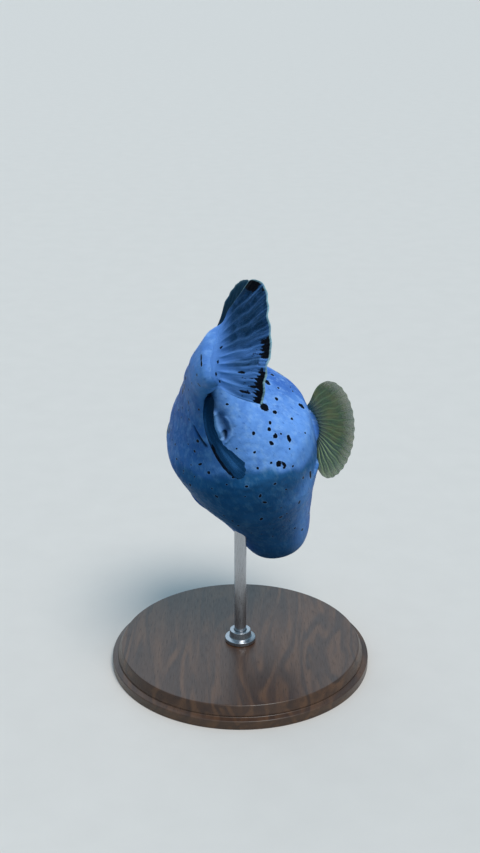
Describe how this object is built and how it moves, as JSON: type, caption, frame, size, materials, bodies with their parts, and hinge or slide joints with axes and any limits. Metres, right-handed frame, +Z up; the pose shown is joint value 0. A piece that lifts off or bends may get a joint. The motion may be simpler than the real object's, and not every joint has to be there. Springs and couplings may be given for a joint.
{
  "type": "blackspotted pufferfish model on a display stand",
  "caption": "Life-size still pufferfish, nose down with a curled tail and spread fins, held over a round wooden base by a steel rod.",
  "frame": {"origin": "middle of the stand's flat underside, on the floor", "axes": "+Z up; +Y is the way the fish's nose points, seen from above; +X is to the viewer's right when looking along +Y"},
  "size_m": [0.152, 0.2081, 0.2592],
  "materials": {
    "skin": "moist satin skin, blue with black spots",
    "lip": "dark moist skin",
    "beak": "smooth ivory tooth plate",
    "eye": "wet gloss",
    "fin": "moist ribbed fin",
    "clear_fin": "moist translucent ribbed fin",
    "base": "dark satin varnish",
    "steel": "satin"
  },
  "bodies": {
    "root": {"head": "skin", "trunk": "skin", "tail_stalk": "skin", "gill_cover_left": "skin", "gill_cover_right": "skin", "nostril_left": "skin", "nostril_right": "skin", "vent": "lip", "lip_upper": "lip", "lip_lower": "lip", "beak_upper": "beak", "beak_lower": "beak", "eye_left": "eye", "eye_right": "eye", "dorsal_fin_base": "skin", "anal_fin_base": "skin", "pectoral_base_left": "skin", "pectoral_base_right": "skin", "dorsal_fin": "fin", "anal_fin": "fin", "caudal_fin": "fin", "pectoral_fin_left": "clear_fin", "pectoral_fin_right": "clear_fin", "stand_base": "base", "stand_collar": "steel", "stand_rod": "steel"}
  },
  "joints": []
}
